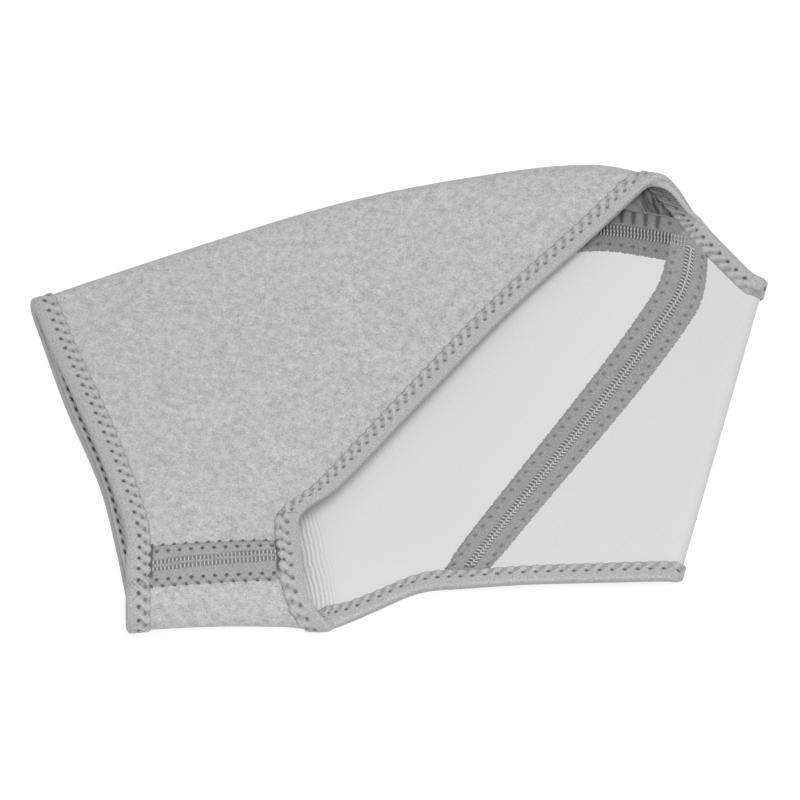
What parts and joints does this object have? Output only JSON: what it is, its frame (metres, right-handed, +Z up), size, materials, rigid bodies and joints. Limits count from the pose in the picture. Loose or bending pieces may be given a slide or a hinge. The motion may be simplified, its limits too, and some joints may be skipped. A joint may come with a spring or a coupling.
{
  "type": "shoulder support",
  "caption": "Soft knit shoulder support: a short arm sleeve whose back runs on into a chest band, with bound edges, taped seams and a ribbed lining, lying flat.",
  "frame": {"origin": "on the table under the middle of the support as it lies", "axes": "+X from the cuff towards the chest band, +Y from the underarm towards the shoulder fold, +Z up off the table"},
  "size_m": [0.3108, 0.2242, 0.0291],
  "materials": {
    "grey_knit": "brushed heather knit",
    "ribbed_lining": "fine ribbed knit",
    "edge_binding": "folded binding with zigzag stitches",
    "seam_tape": "knit tape with ladder stitches"
  },
  "bodies": {
    "root": {"sleeve_outer": "grey_knit", "sleeve_lining": "ribbed_lining", "band_outer": "grey_knit", "band_lining": "ribbed_lining", "cuff_binding": "edge_binding", "neck_binding": "edge_binding", "band_binding": "edge_binding", "underarm_tape": "seam_tape", "shoulder_tape": "seam_tape", "back_tape": "seam_tape"}
  },
  "joints": []
}
